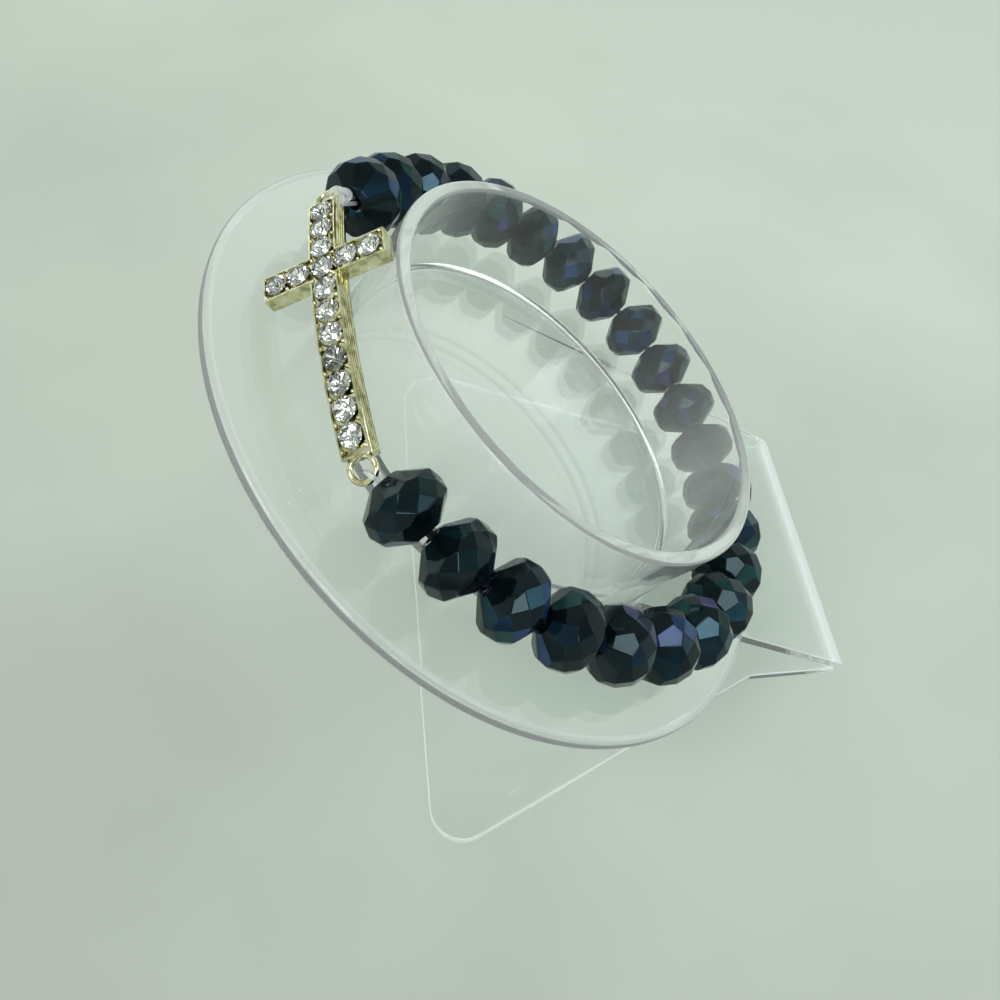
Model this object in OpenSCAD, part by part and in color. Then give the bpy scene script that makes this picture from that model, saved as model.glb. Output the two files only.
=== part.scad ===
// Stretch bracelet of faceted beads with a curved cross, lying round the crown
// of its clear slanted display stand. Millimetres, +Z up, the foot stands on Z = 0.

/* [Beads] */
// Number of beads on the strand
bead_count = 23; // [23]
// Diameter of a bead across its belt
bead_d = 8.4; // [8:0.1:8.4]
// Length of a bead along its hole
bead_l = 6.15; // [5.4:0.05:6.15]
// Number of facets round a bead's belt
bead_sides = 10; // [8:1:12]
// Half height of the belt's upright facets
belt_h = 1.2; // [0.9:0.1:1.3]
// Radius of the flat at each end of a bead
bead_flat_r = 1.5; // [1.3:0.05:1.5]
// Diameter of the hole drilled through a bead
bead_hole = 1.35; // [1.3:0.05:1.5]
// Distance between the middles of two neighbouring beads
bead_pitch = 6.64; // [6.6:0.01:6.65]

/* [Strand] */
// Mean radius of the strand round the crown
loop_r = 29.55; // [29.5:0.05:29.8]
// How far the strand sits off the crown's middle
loop_shift = 0.22; // [0:0.02:0.24]
// How far the strand is pulled to an oval
loop_oval = 0.5; // [0:0.05:0.5]
// How far the strand is pulled to a rounded triangle
loop_three = 0.5; // [0:0.05:0.5]
// Height of the last bead above the strand's own plane
lift_top = 3.7; // [3:0.1:4]
// Thickness of one strand of the clear elastic
elastic_d = 0.5; // [0.4:0.05:0.5]

/* [Cross] */
// Radius that the long arm is curved to
arm_bend_r = 58.6; // [50:0.2:70]
// Length of the long arm below the crossbar
arm_low = 20.1; // [20:0.1:20.2]
// Length of the long arm above the crossbar
arm_high = 8.9; // [8.86:0.02:8.96]
// Width of the long arm
arm_w = 2.94; // [2.9:0.02:3.1]
// Thickness of the long arm from its face to its back
arm_t = 2.2; // [1.9:0.05:2.3]
// Width of the crossbar
bar_w = 2.9; // [2.88:0.02:3]
// Length of the crossbar from end to end
bar_l = 13.4; // [13.4:0.1:13.6]
// Thickness of the crossbar from its face to its back
bar_t = 1.7; // [1.6:0.05:1.8]
// Diameter of a round stone
stone_d = 2.4; // [2.3:0.05:2.4]
// Distance between two stones of the long arm
stone_pitch = 2.55; // [2.5:0.01:2.55]
// Number of stones in the long arm
arm_stones = 11; // [11]
// Outer diameter of the wire ring at each end of the long arm
ring_d = 3.2; // [3:0.1:3.3]
// Thickness of that ring's wire
ring_wire = 0.62; // [0.55:0.01:0.65]

/* [Stand] */
// Slope of the crown and brim
tilt = 34; // [33.5:0.1:34.5]
// Height of the strand's middle above the surface
ring_z = 39.1; // [38.5:0.1:40]
// Radius of the brim
brim_r = 38.2; // [37:0.1:40]
// Thickness of the brim
brim_t = 1.8; // [1.6:0.1:2]
// Outer radius of the crown at its rim
crown_rim_r = 24.7; // [24:0.05:24.75]
// Outer radius of the crown where it meets the brim
crown_base_r = 24; // [23.5:0.05:24.05]
// Height of the crown's rim above the strand's plane
crown_rim_h = 8.2; // [7:0.1:9]
// Depth of the brim's top face below the strand's plane
brim_depth = 4.3; // [4.3:0.05:4.5]
// Thickness of the crown's wall
crown_wall = 1.6; // [1.2:0.1:2]
// Thickness of the bent sheet of the foot
sheet_t = 1.4; // [1.2:0.1:1.5]
// Outer radius of the foot's front bend
fold_r = 1.6; // [1.6:0.1:2]
// Half the width of the foot across its front
neck_half = 19.5; // [17:0.5:21]
// Distance from the crown's middle back to the foot's back edge
foot_back = 15.5; // [12:0.5:18]

/* [Hidden] */
// turn of each bead about its own hole, in degrees, from the lower ring round to the upper
bead_turn = [24, 21, 6, 30, 8, 21, 24, 6, 27, 16, 4, 2, 18, 16, 0, 0, 18, 12, 6, 14, 25, 29, 8];
// first bend of the strand, in degrees round the crown from the stand's front
first_angle = -141.2;
// directions in which the strand is off centre, oval and triangular
shift_at = 41;
oval_at = -67.6;
three_at = -47;
// number of beads over which the lift toward the upper ring fades
lift_fade = 2.2;
// first guess of the turn from one bend of the strand to the next
turn_guess = 13;
// small gap between pieces that lie against each other
gap = 0.1;

// the cross: place of its crossing and its turns about X, Y and Z on the slope
cross_at = [-29.56, 2.8, 2.71];
cross_turn = [7.5, -61.9, -2.3];
first_stone = 18.1;
bar_stones = [-5.24, -2.72, 2.55, 5.07];
wall_t = 0.14;
channel_depth = 0.35;
seat_depth = 1.3;
seat_d = stone_d + 2 * gap;
stone_lift = 0.1;
ring_r = (ring_d - ring_wire) / 2;
ring_reach = 1.1;
ring_drop = 0.87;
strand_apart = 0.3;
hairpin_r = 0.86;
hairpin_steps = 6;
cord_sides = 8;

// the stand
rim_round = 0.4;
round_steps = 96;
brim_top = -brim_depth;
brim_mid = brim_top - brim_t / 2;
brim_bottom = brim_top - brim_t;
leaf_top = brim_bottom - gap;
leaf_r = 24.5;
fold_x = (leaf_top - fold_r + (ring_z - fold_r) * cos(tilt)) / sin(tilt);
foot_front = fold_x + fold_r;
fold_steps = 16;
brim_back = -(brim_r - brim_t / 2) * cos(tilt) + brim_mid * sin(tilt) - brim_t / 2;
centre_x = -(foot_front + brim_back) / 2;
corner_r = 4.2;
side_slope = 23.9;
neck_start = 30;

bead_nodes = [for (k = [1:bead_count]) str("bead_", k < 10 ? "0" : "", k)];
arm_stone_nodes = [for (k = [1:arm_stones]) str("arm_stone_", k < 10 ? "0" : "", k)];
bar_stone_nodes = [for (k = [1:len(bar_stones)]) str("bar_stone_", k)];

// everything on the slope is drawn with the crown's axis upright and is then leaned
module on_slope() {
    translate([centre_x, 0, ring_z]) rotate([0, tilt, 0]) children();
}

// The strand: straight stretches of one pitch each, every one with a bead on its middle

function strand_r(a) = loop_r + loop_shift * cos(a - shift_at)
    + loop_oval * cos(2 * (a - oval_at)) + loop_three * cos(3 * (a - three_at));
function lift(i) = lift_top * exp(-(bead_count - i) / lift_fade);
function bend(a, i) = [strand_r(a) * cos(a), strand_r(a) * sin(a), lift(i)];
function turn_on(a, i, da, tries) = tries == 0 ? da :
    turn_on(a, i, da * bead_pitch / norm(bend(a + da, i + 1) - bend(a, i)), tries - 1);
function bend_angles(a, i) = i > bead_count ? [] :
    concat([a], bend_angles(a + turn_on(a, i, turn_guess, 6), i + 1));

strand_angles = bend_angles(first_angle, 0);
strand = [for (i = [0:bead_count]) bend(strand_angles[i], i)];

// Beads: upright belt facets, kites, five-sided facets and a flat at each end

function ring_points(r, z, offset) =
    [for (i = [0:bead_sides - 1]) let(a = (i + offset) * 360 / bead_sides) [r * cos(a), r * sin(a), z]];

module bead_shape() {
    n = bead_sides;
    half = 180 / n;
    belt_r = bead_d / 2 * cos(half);
    // the five-sided facets lie on planes from the belt's points to the end flat
    fall = (belt_r - bead_flat_r * cos(half)) / (bead_l / 2 - belt_h);
    kite_in = (bead_d / 2) * (1 - cos(half) * cos(half)) / belt_h;
    kite_z = fall * belt_h / (fall - kite_in * cos(half));
    kite_r = bead_d / 2 - kite_in * kite_z;
    points = concat(
        ring_points(bead_d / 2, 0, 0),
        ring_points(belt_r, belt_h, 0.5),
        ring_points(kite_r, kite_z, 0),
        ring_points(bead_flat_r, bead_l / 2, 0),
        ring_points(belt_r, -belt_h, 0.5),
        ring_points(kite_r, -kite_z, 0),
        ring_points(bead_flat_r, -bead_l / 2, 0));
    function at(ring, i) = ring * n + i % n;
    faces = concat(
        [for (i = [0:n - 1]) [at(0, i), at(1, i), at(0, i + 1), at(4, i)]],
        [for (i = [0:n - 1]) [at(0, i + 1), at(1, i), at(2, i + 1), at(1, i + 1)]],
        [for (i = [0:n - 1]) [at(1, i), at(2, i), at(3, i), at(3, i + 1), at(2, i + 1)]],
        [for (i = [0:n - 1]) [at(0, i + 1), at(4, i + 1), at(5, i + 1), at(4, i)]],
        [for (i = [0:n - 1]) [at(4, i), at(5, i + 1), at(6, i + 1), at(6, i), at(5, i)]],
        [[for (i = [n - 1:-1:0]) at(3, i)]],
        [[for (i = [0:n - 1]) at(6, i)]]);
    polyhedron(points, faces);
}

module along(from, to) {
    way = to - from;
    translate((from + to) / 2)
        rotate([0, acos(way[2] / norm(way)), atan2(way[1], way[0])])
            children();
}

module bead(k) {
    color([0.05, 0.07, 0.1])
        on_slope()
            along(strand[k - 1], strand[k])
                difference() {
                    rotate([0, 0, bead_turn[k - 1]]) bead_shape();
                    cylinder(h = bead_l + 2, d = bead_hole, center = true, $fn = 24);
                }
}

// Places on the cross: X across the long arm, Y up it, Z out of its curved face

module on_cross() {
    on_slope() translate(cross_at) rotate(cross_turn) children();
}

function arm_angle(s) = s / arm_bend_r * 180 / PI;

module on_arm(s) {
    translate([0, 0, -arm_bend_r]) rotate([arm_angle(s), 0, 0]) translate([0, 0, arm_bend_r]) children();
}

function arm_stone_s(k) = first_stone - (k - 1) * stone_pitch;

// a bar that follows the long arm's curve between two stations, below its face by top
module arm_strip(s_low, s_high, width, top, bottom) {
    translate([0, 0, -arm_bend_r])
        rotate([0, -90, 0])
            rotate([0, 0, -arm_angle(s_low)])
                rotate_extrude(angle = arm_angle(s_low + s_high), $fn = round_steps)
                    translate([arm_bend_r - bottom, -width / 2])
                        square([bottom - top, width]);
}

module seat() {
    translate([0, 0, -seat_depth]) cylinder(h = seat_depth + 1, d = seat_d, $fn = 32);
}

module end_ring(s) {
    on_arm(s)
        translate([0, 0, -ring_drop])
            rotate_extrude($fn = 48)
                translate([ring_r, 0])
                    circle(d = ring_wire, $fn = 24);
}

module cross_frame() {
    channel_w = arm_w - 2 * wall_t;
    bar_channel_w = bar_w - 2 * wall_t;
    color([0.8, 0.78, 0.66])
        on_cross() {
            difference() {
                union() {
                    arm_strip(arm_low, arm_high, arm_w, 0, arm_t);
                    translate([-bar_l / 2, -bar_w / 2, -bar_t]) cube([bar_l, bar_w, bar_t]);
                }
                arm_strip(arm_low - wall_t, arm_high - wall_t, channel_w, -1, channel_depth);
                translate([-bar_l / 2 + wall_t, -bar_channel_w / 2, -channel_depth])
                    cube([bar_l - 2 * wall_t, bar_channel_w, 1]);
                for (k = [1:arm_stones]) on_arm(arm_stone_s(k)) seat();
                for (x = bar_stones) translate([x, 0, 0]) seat();
            }
            end_ring(arm_low + ring_reach);
            end_ring(-arm_high - ring_reach);
        }
}

// Round cut stone: table, 8 stars, 8 kites, 16 small facets, a thin girdle and 8 below
module stone() {
    r = stone_d / 2;
    table_r = 0.56 * r;
    table_z = 0.36 * r;
    mid_r = 0.8 * r;
    mid_z = table_z * (r - mid_r * cos(22.5)) / (r - table_r);
    girdle_t = 0.06 * r;
    point_z = -0.9 * r;
    function eight(rad, z, offset) = [for (i = [0:7]) let(a = (i + offset) * 45) [rad * cos(a), rad * sin(a), z]];
    points = concat(
        eight(table_r, table_z, 0),
        eight(mid_r, mid_z, 0.5),
        eight(r, 0, 0),
        eight(r, 0, 0.5),
        eight(r, -girdle_t, 0),
        eight(r, -girdle_t, 0.5),
        [[0, 0, point_z]]);
    tip = len(points) - 1;
    function at(ring, i) = ring * 8 + i % 8;
    faces = concat(
        [[for (i = [7:-1:0]) at(0, i)]],
        [for (i = [0:7]) [at(0, i), at(0, i + 1), at(1, i)]],
        [for (i = [0:7]) [at(0, i + 1), at(1, i + 1), at(2, i + 1), at(1, i)]],
        [for (i = [0:7]) [at(1, i), at(3, i), at(2, i)]],
        [for (i = [0:7]) [at(1, i), at(2, i + 1), at(3, i)]],
        [for (i = [0:7]) [at(2, i), at(3, i), at(5, i), at(4, i)]],
        [for (i = [0:7]) [at(3, i), at(2, i + 1), at(4, i + 1), at(5, i)]],
        [for (i = [0:7]) [at(4, i), at(5, i), tip]],
        [for (i = [0:7]) [at(5, i), at(4, i + 1), tip]]);
    polyhedron(points, faces);
}

module arm_stone(k) {
    color([0.93, 0.95, 0.95])
        on_cross() on_arm(arm_stone_s(k)) translate([0, 0, stone_lift]) rotate([0, 0, k * 17]) stone();
}

module bar_stone(k) {
    color([0.93, 0.95, 0.95])
        on_cross() translate([bar_stones[k - 1], 0, stone_lift]) rotate([0, 0, k * 31]) stone();
}

// The elastic: one strand out through every bead, round the upper ring, back through
// every bead and round the lower ring, so that each hole holds two strands side by side

function unit(v) = v / norm(v);
function turned(v, t) = let(
    x = [v[0], v[1] * cos(t[0]) - v[2] * sin(t[0]), v[1] * sin(t[0]) + v[2] * cos(t[0])],
    y = [x[0] * cos(t[1]) + x[2] * sin(t[1]), x[1], x[2] * cos(t[1]) - x[0] * sin(t[1])])
    [y[0] * cos(t[2]) - y[1] * sin(t[2]), y[0] * sin(t[2]) + y[1] * cos(t[2]), y[2]];
function arm_out(s) = turned([0, -sin(arm_angle(s)), cos(arm_angle(s))], cross_turn);
function arm_point(s, drop) = cross_at + turned([0, 0, -arm_bend_r], cross_turn)
    + (arm_bend_r - drop) * arm_out(s);

// half a turn round a ring's wire where the wire is nearest to the bead's end,
// open toward the bead, its first side the one that the outer strand comes along
function hairpin(s, bead_end, outer_side) = let(
    middle = arm_point(s, ring_drop),
    out = arm_out(s),
    way = bead_end - middle,
    toward = unit(way - (way * out) * out),
    wire = middle + ring_r * toward,
    mouth = unit(bead_end - wire),
    one_side = unit(cross(cross(out, toward), mouth)),
    side = one_side * outer_side < 0 ? -one_side : one_side)
    [for (i = [0:hairpin_steps]) let(a = i * 180 / hairpin_steps)
        wire + hairpin_r * (cos(a) * side - sin(a) * mouth)];

// the strand leaves an end bead just past its hole, and bends in the gaps between beads
function exit_point(from, to) = (from + to) / 2 + unit(to - from) * (bead_l / 2 + gap);
elastic_bends = concat(
    [exit_point(strand[1], strand[0])],
    [for (i = [1:bead_count - 1]) strand[i]],
    [exit_point(strand[bead_count - 1], strand[bead_count])]);
function outward(i) = [cos(strand_angles[i]), sin(strand_angles[i]), 0];
function side_strand(side) = [for (i = [0:bead_count])
    elastic_bends[i] + side * strand_apart * outward(i)];
function backwards(list) = [for (i = [len(list) - 1:-1:0]) list[i]];

elastic_path = concat(
    side_strand(1),
    hairpin(-arm_high - ring_reach, elastic_bends[bead_count], outward(bead_count)),
    backwards(side_strand(-1)),
    backwards(hairpin(arm_low + ring_reach, elastic_bends[0], outward(0))));

module elastic_cord() {
    count = len(elastic_path);
    points = [for (i = [0:count - 1]) let(
            way = unit(elastic_path[(i + 1) % count] - elastic_path[(i + count - 1) % count]),
            side = unit(cross(way, [0, 0, 1])),
            up = cross(side, way))
        for (j = [0:cord_sides - 1]) let(a = j * 360 / cord_sides)
            elastic_path[i] + elastic_d / 2 * (cos(a) * side + sin(a) * up)];
    faces = [for (i = [0:count - 1]) for (j = [0:cord_sides - 1]) let(
            a = i * cord_sides,
            b = ((i + 1) % count) * cord_sides,
            next = (j + 1) % cord_sides)
        for (f = [[a + j, b + j, a + next], [a + next, b + j, b + next]]) f];
    color([0.9, 0.92, 0.92]) on_slope() polyhedron(points, faces);
}

// The stand's crown and brim, one moulding with an open top and a closed floor
module stand_crown() {
    lean = (crown_rim_r - crown_base_r) / (crown_rim_h - brim_top);
    inner_rim = crown_rim_r - crown_wall;
    inner_base = crown_base_r - crown_wall;
    shoulder = crown_rim_h - rim_round;
    color([0.82, 0.88, 0.86, 0.5])
        on_slope()
            rotate_extrude($fn = round_steps) {
                translate([0, brim_bottom]) square([brim_r - brim_t / 2, brim_t]);
                translate([brim_r - brim_t / 2, brim_mid]) circle(d = brim_t, $fn = 32);
                polygon([[inner_base, brim_top - brim_t / 2], [crown_base_r, brim_top - brim_t / 2],
                    [crown_rim_r - lean * rim_round, shoulder], [inner_rim, shoulder]]);
                translate([inner_rim + rim_round, shoulder - rim_round])
                    square([crown_wall - 2 * rim_round, 2 * rim_round]);
                for (r = [inner_rim + rim_round, crown_rim_r - lean * rim_round - rim_round])
                    translate([r, shoulder]) circle(r = rim_round, $fn = 32);
            }
}

// Outline of the floor leaf: wings that narrow to a neck, with round back corners
module floor_outline() {
    side_at = function(x) neck_half + (neck_start - x) * tan(side_slope);
    corner_x = -foot_back + corner_r;
    corner_y = side_at(corner_x) - corner_r / cos(side_slope);
    for (side = [0, 1]) mirror([0, side]) {
        polygon([[-foot_back, 0], [-foot_back, corner_y], [corner_x, corner_y],
            [corner_x + corner_r * sin(side_slope), corner_y + corner_r * cos(side_slope)],
            [neck_start, neck_half], [fold_x, neck_half], [fold_x, 0]]);
        translate([corner_x, corner_y]) circle(r = corner_r, $fn = 64);
    }
}

// Side view of the folded sheet: along the floor, round the fold and up the slope
module fold_profile() {
    fold_end = 90 - tilt;
    function fold_arc(r, from, to) = [for (i = [0:fold_steps]) let(a = from + (to - from) * i / fold_steps)
        [fold_x + r * cos(a), fold_r + r * sin(a)]];
    function slope_point(h) = [h * sin(tilt), ring_z + h * cos(tilt)];
    polygon(concat(
        [[0, sheet_t], [0, 0]],
        fold_arc(fold_r, -90, fold_end),
        [slope_point(leaf_top), slope_point(leaf_top - sheet_t)],
        fold_arc(fold_r - sheet_t, fold_end, -90)));
}

// The stand's foot: a clear sheet folded at the front, its upper leaf flush under the brim
module stand_foot() {
    color([0.8, 0.88, 0.86, 0.5]) {
        translate([centre_x, 0, 0]) linear_extrude(sheet_t) floor_outline();
        translate([centre_x, neck_half, 0])
            rotate([90, 0, 0])
                linear_extrude(2 * neck_half) fold_profile();
        on_slope()
            translate([0, 0, leaf_top - sheet_t])
                linear_extrude(sheet_t) circle(r = leaf_r, $fn = round_steps);
    }
}

for (k = [1:bead_count]) bead(k);
for (k = [1:arm_stones]) arm_stone(k);
for (k = [1:len(bar_stones)]) bar_stone(k);
cross_frame();
elastic_cord();
stand_crown();
stand_foot();
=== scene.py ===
"""A beaded stretch bracelet with a stone-set cross, on its clear display stand.

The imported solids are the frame. Every piece below is made in the same place as the
solid that it stands for, in metres, with the foot of the stand on Z = 0.
"""

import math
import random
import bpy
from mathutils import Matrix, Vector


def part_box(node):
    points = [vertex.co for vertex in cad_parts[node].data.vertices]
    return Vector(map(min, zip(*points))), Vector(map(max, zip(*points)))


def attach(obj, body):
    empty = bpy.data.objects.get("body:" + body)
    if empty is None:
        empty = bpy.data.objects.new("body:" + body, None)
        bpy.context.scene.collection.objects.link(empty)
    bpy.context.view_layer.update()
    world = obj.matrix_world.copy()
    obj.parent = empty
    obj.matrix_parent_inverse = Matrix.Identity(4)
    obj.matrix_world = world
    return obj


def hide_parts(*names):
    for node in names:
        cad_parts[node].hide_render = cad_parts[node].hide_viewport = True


bl_info = {
    "name": "Beaded Bracelet on a Display Stand",
    "version": (1, 0, 0),
    "blender": (4, 5, 0),
    "location": "View3D > Sidebar > Bracelet",
    "description": "Faceted glass beads, a stone-set cross, clear elastic and a clear stand",
    "category": "Add Mesh",
}

import bmesh
import bpy
from bpy.props import (
    FloatProperty,
    FloatVectorProperty,
    IntProperty,
    PointerProperty,
)
from mathutils import Matrix, Vector

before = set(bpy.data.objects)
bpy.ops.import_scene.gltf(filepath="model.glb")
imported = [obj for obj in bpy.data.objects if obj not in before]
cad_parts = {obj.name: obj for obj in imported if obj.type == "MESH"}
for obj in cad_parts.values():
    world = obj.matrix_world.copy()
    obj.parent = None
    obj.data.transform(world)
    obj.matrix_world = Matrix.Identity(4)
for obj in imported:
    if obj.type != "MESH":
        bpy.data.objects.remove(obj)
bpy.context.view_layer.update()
BODY = "root"
MM = 0.001

# Corners nearer than this are one corner
SAME_POINT = 0.002 * MM

# Degrees within which the neighbouring faces of a flat-sided solid are one face
ONE_FACE = 0.5

# The slope that the crown, the strand and the cross lie on, as in the part's source
CENTRE_X = -4.2554 * MM
RING_Z = 39.1 * MM
TILT = math.radians(34)
SLOPE = Matrix.Translation((CENTRE_X, 0, RING_Z)) @ Matrix.Rotation(TILT, 4, "Y")

# The strand's bends, as in the part's source: the first one's angle, three slow waves of
# their radius, how far they lift at the upper ring and how fast that fades. Then the turn
# of each bead about its hole
FIRST_ANGLE = -141.2
LOOP_WAVES = ((0.22, 1, 41.0), (0.5, 2, -67.6), (0.5, 3, -47.0))
LIFT_TOP = 3.7
LIFT_FADE = 2.2
BEAD_TURNS = (24, 21, 6, 30, 8, 21, 24, 6, 27, 16, 4, 2, 18, 16, 0, 0, 18, 12, 6, 14, 25, 29, 8)

# The first guess at the degrees from one bend to the next, and how often it is bettered
BEND_GUESS = 13.0
BEND_TRIES = 6

# How far the middle of a bead may be from that of its solid
BEAD_DRIFT = 0.05 * MM

# The coating's colours and painted glints of a bead's facets up the scale of tints: place, colour
# and share of it
COAT_AND_PAINTED_GLINTS = (
    (0.0, "glass", 1.0),
    (0.55, "glass", 1.0),
    (0.6, "teal", 0.35),
    (0.75, "blue", 0.35),
    (0.8, "teal", 1.0),
    (0.86, "teal", 1.0),
    (0.88, "blue", 1.0),
    (0.95, "blue", 1.0),
    (0.97, "violet", 1.0),
)

# The beads beside the lower ring, and how far up the scale of tints their facets reach, so that
# their painted glints stay faint
PLAIN_BEADS = 2
PLAIN_GLINT = 0.72

# The cross on the slope, as in the part's source
CROSS_AT = Vector((-29.56, 2.8, 2.71)) * MM
CROSS_TURN = (7.5, -61.9, -2.3)
ARM_STONES = 11
FIRST_STONE = 18.1 * MM
STONE_PITCH = 2.55 * MM
BAR_STONES = 4
ARM_ENDS = (-8.9 * MM, 20.1 * MM)
ARM_W = 2.94 * MM
BAR_W = 2.9 * MM

# The ribs on the long arm's sides: their depths below its face, and the steps along one
RIB_DEPTHS = (0.5 * MM, 0.9 * MM, 1.3 * MM, 1.7 * MM)
RIB_STEPS = 40

# The prongs: how far in from the metal's side they stand, where they are along the
# crossbar, how much their sizes differ, and the seed of that
PRONG_IN = 0.3 * MM
BAR_PRONGS = (-6.45 * MM, -3.98 * MM, 3.81 * MM, 6.3 * MM)
PRONG_SIZES = (0.85, 1.1)
PRONG_SEED = 3

# The stones: the seed of their facets' tints, how much a facet must face down to be silvered, and
# how bright the silver is up the scale of tints, which gives each facet a painted glint and painted
# shade
STONE_SEED = 5
SILVER_BELOW = -0.2
SILVER = (
    (0.0, (0.05, 0.05, 0.045)),
    (0.14, (0.2, 0.2, 0.18)),
    (0.26, (0.85, 0.85, 0.8)),
    (1.0, (1.0, 1.0, 0.97)),
)

# The rings at the cross's ends, and how far from them the elastic is seen in the open; farther off
# it is painted dark as painted shade between the beads
RING_PLACES = (Vector((-24.52, -17.1, 51.93)) * MM, Vector((-26.72, 12.72, 57.29)) * MM)
RING_REACH = 4 * MM

# The knot of the elastic beside the upper ring: place, width, radius of its wire, lean,
# share of the width that it is deep, and steps along its line
KNOT_AT = Vector((-25.6, 12.7, 57.5)) * MM
KNOT_W = 2.7 * MM
KNOT_WIRE = 0.36 * MM
KNOT_LEAN = math.radians(25)
KNOT_FLAT = 0.52
KNOT_STEPS = 72

# The order of the stand's finishes
FLAT, EDGE, WALL, CORNER = range(4)

# How much of a lamp's light each face of the acrylic lets through
CLEARNESS = (0.97, 0.98, 0.975)

# How clear the milky places are: the rims and the corners at the brim, painted milky as painted
# reflection, and the foot's cut edge
RIM_CLEAR = 0.81
CORNER_CLEAR = 0.65
CUT_CLEAR = 0.5

# Where the crown's wall is clearest, in radians round the slope, and how clear it is from the far
# side of that place to the place itself; the milky veil toward the sides is painted reflection
CLEAR_AT = math.radians(66)
CROWN_CLEARNESS = (
    (0.0, 0.93),
    (0.4, 0.92),
    (0.55, 0.86),
    (0.68, 0.87),
    (0.86, 0.965),
    (0.97, 0.99),
)

# The crown's section: radius of the corners where its wall meets the brim, radius of the
# rim's corners, depth of the milky rim, and the steps round a corner and round the crown
CORNER_R = 0.3 * MM
RIM_R = 0.4 * MM
RIM_BAND = 0.5 * MM
CORNER_STEPS = 6
CROWN_STEPS = 240

# Above the brim by this much, a band of the crown is no longer the brim's flat top
OFF_BRIM = 0.001 * MM

# The foot's sheet, the outside of its front fold, the rounding of its cut edge, and how
# little a face may look up or down to be part of that edge
SHEET = 1.4 * MM
FOLD = 1.6 * MM
FOOT_EDGE = 0.26 * MM
UPRIGHT = 0.3

# How far back from the fold the sheet is painted milky, as painted reflection along the bend, and
# how clear it is there
FOLD_SHINE = 1.0 * MM
FOOT_CLEARNESS = ((0.0, 0.965), (0.12, 0.82), (0.85, 0.76), (1.0, 0.6))

# The floor: half its width, its height, the way that its painted light grows and where that starts
# and ends
FLOOR_HALF = 1.5
FLOOR_Z = -0.05 * MM
FLOOR_WAY = (2.2, 3.4, 0)
FLOOR_STOPS = (0.1, 0.95)

# The point that the lamps face, then each lamp: its name, the two angles of where it
# stands, its distance, width, power and colour
LAMPS_FACE = Vector((0, 0, 0.03))
LAMPS = (
    ("key", 263, 53, 0.7, 0.24, 1.3, (0.97, 0.98, 1.0)),
    ("side", 338, 38, 0.8, 0.32, 0.8, (0.6, 0.8, 1.0)),
    ("back", 203, 64, 0.8, 0.2, 0.9, (0.97, 0.98, 1.0)),
)

# The light from all round: how bright it is from below to above, in front and behind
SKY_BY_HEIGHT = ((0.0, 1.25), (0.3, 1.0), (0.55, 0.6), (1.0, 0.42))
SKY_IN_FRONT = 0.7
SKY_BEHIND = 1.35

# The photograph's view: where the camera stands, which ways are right and back, its
# lens and sensor, and how near and far it sees
CAMERA_AT = (-22.61 * MM, -67.12 * MM, 120.91 * MM)
CAMERA_RIGHT = Vector((0.9909, -0.1183, 0.0638))
CAMERA_BACK = Vector((-0.1188, -0.5491, 0.8273))
CAMERA_LENS = 34.06
CAMERA_SENSOR = 36
CAMERA_SEES = (0.005, 10)


class BeadSettings(bpy.types.PropertyGroup):
    """Sizes and colours of the beads."""

    diameter: FloatProperty(
        name="Diameter", description="Across the belt", default=8.4 * MM, unit="LENGTH"
    )
    length: FloatProperty(
        name="Length", description="Along the hole", default=6.15 * MM, unit="LENGTH"
    )
    facets: IntProperty(
        name="Facets", description="Facets round the belt", default=10, min=6, max=16
    )
    belt: FloatProperty(
        name="Belt",
        description="Half height of the belt's upright facets",
        default=1.2 * MM,
        unit="LENGTH",
    )
    flat: FloatProperty(
        name="End Flat",
        description="Radius of the flat at each end",
        default=1.5 * MM,
        unit="LENGTH",
    )
    hole: FloatProperty(
        name="Hole", description="Diameter of the drilled hole", default=1.35 * MM, unit="LENGTH"
    )
    pitch: FloatProperty(
        name="Pitch",
        description="From the middle of one bead to the next",
        default=6.64 * MM,
        unit="LENGTH",
    )
    loop: FloatProperty(
        name="Loop", description="Mean radius of the strand", default=29.55 * MM, unit="LENGTH"
    )
    polish: FloatProperty(
        name="Polished Edge",
        description="Width of the softened edge of a facet",
        default=0.09 * MM,
        unit="LENGTH",
    )
    glass: FloatVectorProperty(
        name="Glass",
        description="The black glass itself",
        subtype="COLOR",
        default=(0.003, 0.006, 0.008),
    )
    # The glint colours are painted on the facets: partly the coating's own colour, partly painted
    # reflection
    teal: FloatVectorProperty(
        name="Teal",
        description="Glint of the greener facets",
        subtype="COLOR",
        default=(0.008, 0.045, 0.045),
    )
    blue: FloatVectorProperty(
        name="Blue",
        description="Glint of the bluer facets",
        subtype="COLOR",
        default=(0.012, 0.04, 0.11),
    )
    violet: FloatVectorProperty(
        name="Violet",
        description="Glint of the redder facets",
        subtype="COLOR",
        default=(0.03, 0.025, 0.1),
    )
    sheen: FloatVectorProperty(
        name="Sheen",
        description="Cool cast of what the glass reflects",
        subtype="COLOR",
        default=(0.48, 0.71, 0.77),
    )


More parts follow.
